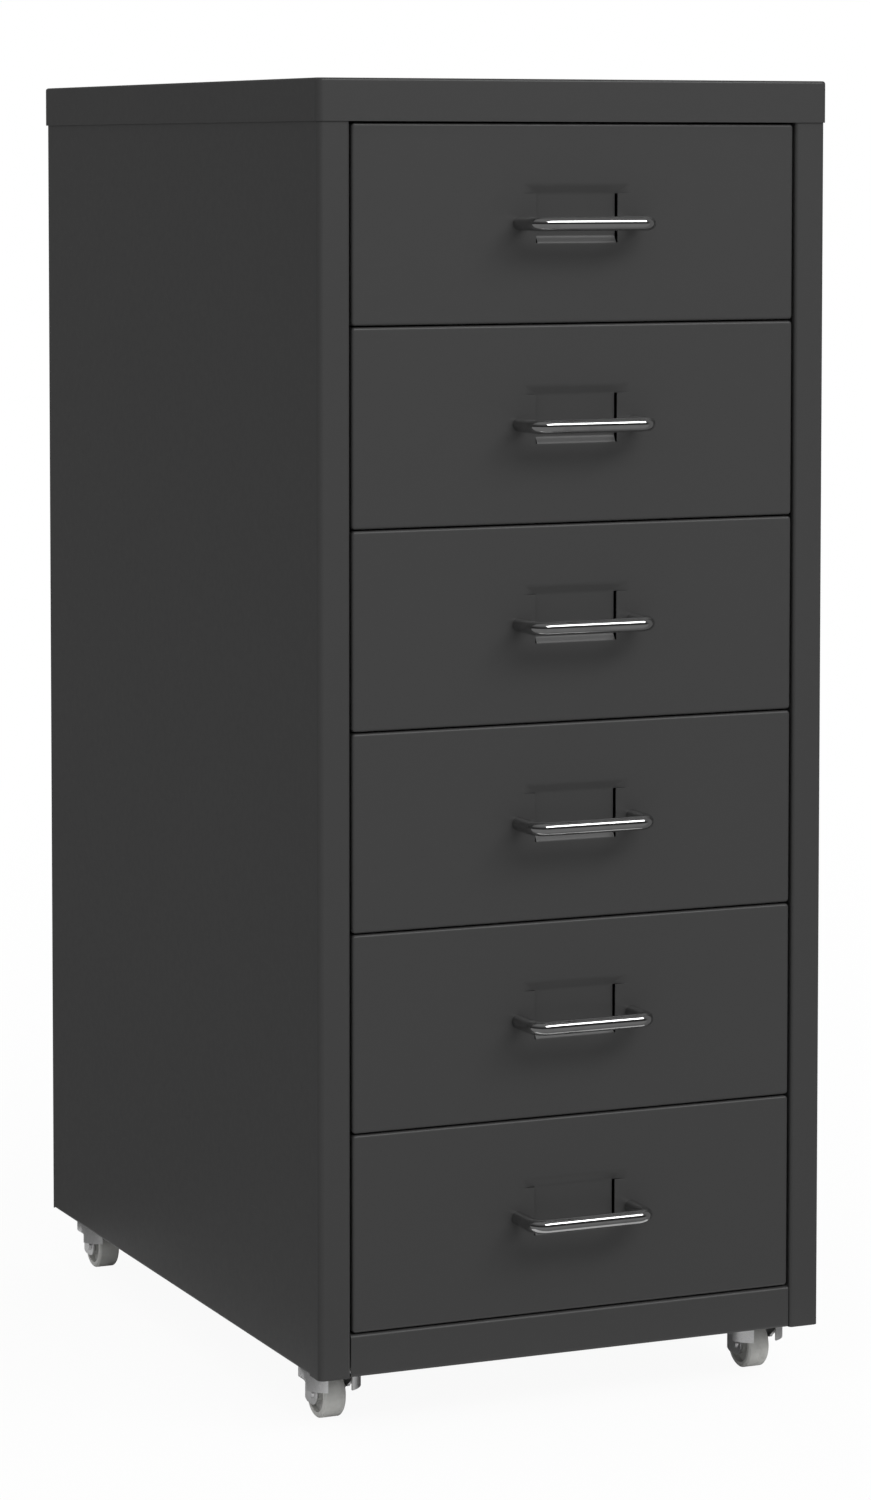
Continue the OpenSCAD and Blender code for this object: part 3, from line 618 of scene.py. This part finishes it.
def bowTree():  # a wire bent twice: two feet and a bar
    tree, given = newTree("bowHandle", {"Pitch": "Float", "Reach": "Float", "Bend Radius": "Float",
                                        "Wire": "Float", "Place": "Vector", "Material": "Material"})
    index = addNode(tree, "GeometryNodeInputIndex").outputs[0]
    right = maths(tree, "GREATER_THAN", index, 1.5)
    middle = maths(tree, "LESS_THAN", maths(tree, "ABSOLUTE", maths(tree, "SUBTRACT", index, 1.5)), 1.0)
    x = maths(tree, "MULTIPLY", given["Pitch"], maths(tree, "SUBTRACT", right, 0.5))
    y = maths(tree, "MULTIPLY", given["Reach"], maths(tree, "MULTIPLY", middle, -1.0))
    points = addNode(tree, "GeometryNodeMeshLine", {"Count": 4}).outputs[0]
    corner = addNode(tree, "ShaderNodeCombineXYZ", {0: x, 1: y}).outputs[0]
    path = addNode(tree, "GeometryNodeSetPosition", {"Geometry": points, "Position": corner}).outputs[0]
    path = addNode(tree, "GeometryNodeMeshToCurve", {"Mesh": path}).outputs[0]
    bent = addNode(tree, "GeometryNodeFilletCurve", {"Curve": path, "Radius": given["Bend Radius"],
                                                     "Count": handleShape["bendSteps"]}, mode="POLY").outputs[0]
    radius = maths(tree, "MULTIPLY", given["Wire"], 0.5)
    section = addNode(tree, "GeometryNodeCurvePrimitiveCircle",
                      {"Resolution": handleShape["around"], "Radius": radius}).outputs[0]
    wire = addNode(tree, "GeometryNodeCurveToMesh",
                   {"Curve": bent, "Profile Curve": section, "Fill Caps": True}).outputs[0]
    seated = addNode(tree, "GeometryNodeTransform", {"Geometry": wire, "Translation": given["Place"]}).outputs[0]
    endTree(tree, seated, given["Material"])
    return tree


bow = bowTree()
for drawer in drawerNames:
    low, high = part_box(drawer + "_handle")
    wire = high.z - low.z
    place = Vector(((low.x + high.x) / 2, high.y, (low.z + high.z) / 2))
    values = {"Pitch": handleShape["pitch"], "Reach": high.y - low.y - wire / 2,
              "Bend Radius": handleShape["bend"], "Wire": wire, "Place": place,
              "Material": materials["handle_chrome"]}
    handle = grow(drawer + "_bow", bow, values)
    stand(handle, drawer, "handle_chrome", drawer + "_handle")
print("handles bent")


# ---- turned shapes ----

def lathe(name, profile, around, closed=False):  # profile of (radius, height) turned about Z
    body = bmesh.new()
    rings = []
    for radius, height in profile:
        if radius < 0.0001 * mm:  # on the axis
            rings.append([body.verts.new((0, 0, height))])
        else:
            rings.append([body.verts.new((radius * math.cos(2 * math.pi * k / around),
                                          radius * math.sin(2 * math.pi * k / around), height))
                          for k in range(around)])
    pairs = list(zip(rings[:-1], rings[1:])) + ([(rings[-1], rings[0])] if closed else [])
    for first, second in pairs:
        for k in range(around):
            corners = [first[k - 1 if len(first) > 1 else 0], first[k if len(first) > 1 else 0],
                       second[k if len(second) > 1 else 0], second[k - 1 if len(second) > 1 else 0]]
            distinct = list(dict.fromkeys(corners))
            if len(distinct) > 2:
                body.faces.new(distinct)
    bmesh.ops.recalc_face_normals(body, faces=body.faces)
    mesh = bpy.data.meshes.new(name)
    body.to_mesh(mesh)
    body.free()
    return mesh


def rounded(points, radius, steps=3):  # rounds the corners of an open profile
    result = [points[0]]
    for before, corner, after in zip(points[:-2], points[1:-1], points[2:]):
        here, way0, way1 = Vector(corner), Vector(before) - Vector(corner), Vector(after) - Vector(corner)
        reach = min(radius, way0.length * 0.45, way1.length * 0.45)
        start, end = here + way0.normalized() * reach, here + way1.normalized() * reach
        for k in range(steps + 1):
            t = k / steps
            result.append(tuple(start * (1 - t) ** 2 + here * 2 * t * (1 - t) + end * t ** 2))
    return result + [points[-1]]


# ---- screws: one turned and cross-slotted blank, set on marked points ----

screwShape = {"head": 7.6 * mm, "headHeight": 2.2 * mm, "shank": 4 * mm, "slotWidth": 0.95 * mm,
              "slotLength": 4.3 * mm, "slotDepth": 1.3 * mm, "slotTaper": 0.62, "rim": 0.36, "domeSteps": 7,
              "tip": 0.3 * mm, "edge": 0.15 * mm, "around": 28}


def screwBlank(name, length):
    shape = screwShape
    head, shank, tall = shape["head"] / 2, shape["shank"] / 2, shape["headHeight"]
    rim, steps, tip, edge = shape["rim"], shape["domeSteps"], shape["tip"], shape["edge"]
    dome = [(head * math.cos(math.pi / 2 * k / steps), tall * (rim + (1 - rim) * math.sin(math.pi / 2 * k / steps)))
            for k in range(steps + 1)]
    dome[-1] = (0, dome[-1][1])
    profile = [(0, -length), (shank - tip, -length), (shank, tip - length), (shank, 0),
               (head - edge, 0), (head, edge)] + dome
    blank = linkObject(name, lathe(name, profile, shape["around"]))
    cutters = []
    for turn in (0, math.pi / 2):
        cutter = bmesh.new()
        bmesh.ops.create_cube(cutter, size=1)
        for vertex in cutter.verts:
            taper = shape["slotTaper"] if vertex.co.z < 0 else 1.0
            vertex.co = Vector((vertex.co.x * shape["slotLength"] * taper, vertex.co.y * shape["slotWidth"],
                                vertex.co.z * 2 * shape["slotDepth"] + tall))
        bmesh.ops.rotate(cutter, verts=cutter.verts, matrix=Matrix.Rotation(turn, 3, "Z"))
        mesh = bpy.data.meshes.new("slotCutter")
        cutter.to_mesh(mesh)
        cutter.free()
        tool = linkObject("slotCutter", mesh)
        cutters.append(tool)
        cut = blank.modifiers.new("slot", "BOOLEAN")
        cut.object, cut.operation, cut.solver = tool, "DIFFERENCE", "EXACT"
    settle(blank, 30)
    for tool in cutters:
        bpy.data.objects.remove(tool)
    return blank


def screwTree():  # a screw on every point, along the point's own axis, each turned by chance
    tree, given = newTree("setScrews", {"Points": "Geometry", "Screw": "Object", "Seed": "Int",
                                        "Material": "Material"})
    axis = addNode(tree, "GeometryNodeInputNamedAttribute", {"Name": "axis"}, data_type="FLOAT_VECTOR").outputs[0]
    along = addNode(tree, "FunctionNodeAlignRotationToVector", {"Vector": axis}, axis="Z").outputs[0]
    turn = addNode(tree, "FunctionNodeRandomValue", {2: 0.0, 3: math.pi, "Seed": given["Seed"]}).outputs[1]
    spin = addNode(tree, "FunctionNodeAxisAngleToRotation", {"Axis": (0, 0, 1), "Angle": turn}).outputs[0]
    rotation = addNode(tree, "FunctionNodeRotateRotation", {0: along, 1: spin}, rotation_space="LOCAL").outputs[0]
    blank = addNode(tree, "GeometryNodeObjectInfo", {"Object": given["Screw"]}).outputs["Geometry"]
    points = addNode(tree, "GeometryNodeMeshToPoints", {"Mesh": given["Points"]}).outputs[0]
    screws = addNode(tree, "GeometryNodeInstanceOnPoints",
                     {"Points": points, "Instance": blank, "Rotation": rotation}).outputs[0]
    endTree(tree, screws, given["Material"])
    return tree


def solidCentres(node):  # the separate solids of a CAD node, as their boxes
    solid = weldedSolid(node)
    unseen, boxes = set(solid.verts), []
    while unseen:
        stack, island = [unseen.pop()], []
        while stack:
            vertex = stack.pop()
            island.append(vertex.co.copy())
            for edge in vertex.link_edges:
                other = edge.other_vert(vertex)
                if other in unseen:
                    unseen.remove(other)
                    stack.append(other)
        boxes.append((Vector(map(min, zip(*island))), Vector(map(max, zip(*island)))))
    solid.free()
    return sorted(boxes, key=lambda pair: tuple(round(v, 5) for v in pair[0]))


setScrews = screwTree()


def dressScrews(node, body, name, axis, blank, seed):
    axis = Vector(axis)
    seats = []
    for low, high in solidCentres(node):
        middle, size = (low + high) / 2, high - low
        seats.append(middle + axis * (abs(size.dot(axis)) / 2 - screwShape["headHeight"]))
    mesh = bpy.data.meshes.new(name)
    mesh.from_pydata([tuple(seat) for seat in seats], [], [])
    mesh.attributes.new("axis", "FLOAT_VECTOR", "POINT").data.foreach_set("vector", [*axis] * len(seats))
    values = {"Screw": blank, "Seed": seed, "Material": materials["screw_steel"]}
    piece = grow(name, setScrews, values, mesh)
    stand(piece, body, "screw_steel", node)


shortScrew = screwBlank("shortScrewBlank", 6 * mm)
longScrew = screwBlank("longScrewBlank", 8 * mm)
dressScrews("panel_screws", "cabinet", "panel_screws_set", (0, 1, 0), shortScrew, 3)
dressScrews("castor_screws", "cabinet", "castor_screws_set", (0, 0, -1), shortScrew, 5)
for number, drawer in enumerate(drawerNames, 1):
    dressScrews(drawer + "_handle_screws", drawer, drawer + "_handle_screws_set", (0, 1, 0), longScrew, number)
for blank in (shortScrew, longScrew):
    bpy.data.objects.remove(blank)
print("screws set")


# ---- castor wheels ----

wheelShape = {
    "hub": 5 * mm, "bore": 2.05 * mm, "rim": 3 * mm, "recess": 3 * mm, "bevel": 1 * mm, "round": 0.35 * mm,
    "seamHalf": 0.25 * mm, "seamFloor": 0.1 * mm, "seamDepth": 0.05 * mm, "treadDepth": 0.6 * mm, "around": 72,
}


def dressWheel(castor):
    node = castor + "_castor_wheel"
    low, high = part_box(node)
    centre, half, radius = (low + high) / 2, (high.x - low.x) / 2, (high.z - low.z) / 2
    shape = wheelShape
    rim, web = radius - shape["rim"], half - shape["recess"]
    side = [(shape["bore"], half), (shape["hub"], half), (shape["hub"], web), (rim, web), (rim, half),
            (radius - shape["bevel"], half), (radius, half - shape["bevel"])]
    seam = [(radius, shape["seamHalf"]), (radius - shape["seamDepth"], shape["seamFloor"])]  # the parting line
    outer = side + seam
    profile = outer + [(across, -along) for across, along in outer[::-1]]
    mesh = lathe(castor + "_wheel_moulding", rounded(profile, shape["round"]), shape["around"], closed=True)
    mesh.transform(Matrix.Translation(centre) @ Matrix.Rotation(math.pi / 2, 4, "Y"))
    tread = mesh.attributes.new("tread", "FLOAT", "FACE")
    tread.data.foreach_set("value", [
        float((face.center - centre).yz.length > radius - shape["treadDepth"]) for face in mesh.polygons])
    mesh.materials.append(materials["wheel_plastic"])
    piece = settle(linkObject(castor + "_wheel_moulding", mesh), 40)
    stand(piece, castor + "_wheel", "wheel_plastic", node)


for castor in castorNames:
    dressWheel(castor)
print("wheels turned")


# ---- studio ----

studio = {  # sky lights the part; backdrop is what its metal shows behind it, room what it shows in front
    "floorColour": (0.8, 0.8, 0.8, 1), "floorWhite": 0.94, "sky": 0.87, "backdrop": 0.16,
    "roomTop": 0.22, "roomHorizon": 0.03, "roomFloor": 0.24, "inFront": (-0.4, -0.91, 0.0), "litMargin": 45 * mm,
    "floorReach": 20.0, "whiteFrom": 0.4, "whiteBy": 2.2,
}


def seenShare(tree, path):  # the rays that meet the backdrop in place of the light
    seen = maths(tree, "ADD", path["Is Camera Ray"], path["Is Transmission Ray"])
    return maths(tree, "ADD", seen, path["Is Glossy Ray"], clamp=True)


def backdropGlow(tree, path, roomLevel, place, far, near):  # white to the eye, dimmed for what metal shows
    along = addNode(tree, "ShaderNodeVectorMath", {0: place, 1: studio["inFront"]}, operation="DOT_PRODUCT")
    facing = mapRange(tree, along.outputs["Value"], far, near, 0.0, 1.0)
    dimmed = addNode(tree, "ShaderNodeMix", {0: facing, 2: studio["backdrop"], 3: roomLevel}).outputs[0]
    return addNode(tree, "ShaderNodeMix", {0: path["Is Glossy Ray"], 2: 1.0, 3: dimmed}).outputs[0]


def makeWorld():
    world = bpy.data.worlds.new("studioSky")
    bpy.context.scene.world = world
    world.use_nodes = True
    tree = world.node_tree
    tree.nodes.clear()
    path = addNode(tree, "ShaderNodeLightPath").outputs
    way = addNode(tree, "ShaderNodeTexCoord").outputs["Generated"]
    up = addNode(tree, "ShaderNodeSeparateXYZ", {0: way}).outputs["Z"]
    room = mapRange(tree, up, 0.25, 0.85, studio["roomHorizon"], studio["roomTop"])
    level = backdropGlow(tree, path, room, way, -0.15, 0.35)
    sky = addNode(tree, "ShaderNodeBackground", {"Color": (1, 1, 1, 1), "Strength": studio["sky"]}).outputs[0]
    white = addNode(tree, "ShaderNodeBackground", {"Color": (1, 1, 1, 1), "Strength": level}).outputs[0]
    mixed = addNode(tree, "ShaderNodeMixShader", {0: seenShare(tree, path), 1: sky, 2: white}).outputs[0]
    tree.links.new(mixed, tree.nodes.new("ShaderNodeOutputWorld").inputs[0])


def makeFloor():
    mesh = bpy.data.meshes.new("floor")
    reach = studio["floorReach"]
    corners = [(-reach, -reach, 0), (reach, -reach, 0), (reach, reach, 0), (-reach, reach, 0)]
    mesh.from_pydata(corners, [], [(0, 1, 2, 3)])
    floor = linkObject("floor", mesh)
    material, tree, shader = newMaterial("pale_floor", Roughness=0.9, Specular_IOR_Level=0.1)
    shader.inputs["Base Color"].default_value = studio["floorColour"]
    path = addNode(tree, "ShaderNodeLightPath").outputs
    place = objectPlace(tree)
    away = addNode(tree, "ShaderNodeVectorMath", {0: place}, operation="LENGTH").outputs["Value"]
    white = mapRange(tree, away, studio["whiteFrom"], studio["whiteBy"], studio["floorWhite"], 1.0)
    axes = addNode(tree, "ShaderNodeSeparateXYZ", {0: place}).outputs
    margins = [maths(tree, "SUBTRACT", maths(tree, "ABSOLUTE", axes[k]), cadBox[1][k]) for k in (0, 1)]
    beside = maths(tree, "MAXIMUM", *margins)  # next to the part metal shows the floor as it is lit
    far = mapRange(tree, beside, studio["litMargin"] * 0.6, studio["litMargin"] * 1.3, 0.0, 1.0)
    shown = addNode(tree, "ShaderNodeMix", {0: path["Is Glossy Ray"], 2: white, 3: far}).outputs[0]
    share = maths(tree, "MULTIPLY", seenShare(tree, path), shown)
    level = backdropGlow(tree, path, studio["roomFloor"], place, 0.15, 0.45)
    glow = addNode(tree, "ShaderNodeEmission", {"Color": (1, 1, 1, 1), "Strength": level}).outputs[0]
    mixed = addNode(tree, "ShaderNodeMixShader", {0: share, 1: shader.outputs[0], 2: glow}).outputs[0]
    tree.links.new(mixed, tree.nodes["Material Output"].inputs[0])
    mesh.materials.append(material)


lamps = {  # place, target, size across and down, watts
    "softBox": ((1.11, -3.1, 2.87), (0.0, -0.2, 0.35), (3.7, 1.25), 90),
}


def makeLamp(name, place, target, size, watts):
    lamp = bpy.data.lights.new(name, "AREA")
    lamp.shape, lamp.size, lamp.size_y, lamp.energy = "RECTANGLE", size[0], size[1], watts
    holder = bpy.data.objects.new(name, lamp)
    bpy.context.scene.collection.objects.link(holder)
    holder.location = place
    holder.rotation_euler = (Vector(target) - Vector(place)).to_track_quat("-Z", "Y").to_euler()


camera = {  # fitted to the photograph's straight edges within a few pixels of its 871 by 1500 frame
    "place": (-984.5 * mm, -2267.3 * mm, 644 * mm), "yaw": 23.63, "pitch": -3.73, "roll": -0.023,
    "focalPixels": 4529, "longSide": 1500, "shiftPixels": -300, "sensor": 36.0, "clip": (0.05, 60),
}


def makeCamera():
    lens = bpy.data.cameras.new("camera")
    lens.sensor_width = camera["sensor"]
    lens.lens = camera["focalPixels"] * camera["sensor"] / camera["longSide"]
    lens.shift_y = camera["shiftPixels"] / camera["longSide"]
    lens.clip_start, lens.clip_end = camera["clip"]
    holder = bpy.data.objects.new("camera", lens)
    bpy.context.scene.collection.objects.link(holder)
    holder.location = camera["place"]
    holder.rotation_euler = [math.radians(turn) for turn in (90 + camera["pitch"], camera["roll"], -camera["yaw"])]
    bpy.context.scene.camera = holder


makeWorld()
makeFloor()
for name, lamp in lamps.items():
    makeLamp(name, *lamp)
makeCamera()
bpy.context.scene.view_settings.view_transform = "Standard"
print("studio ready")
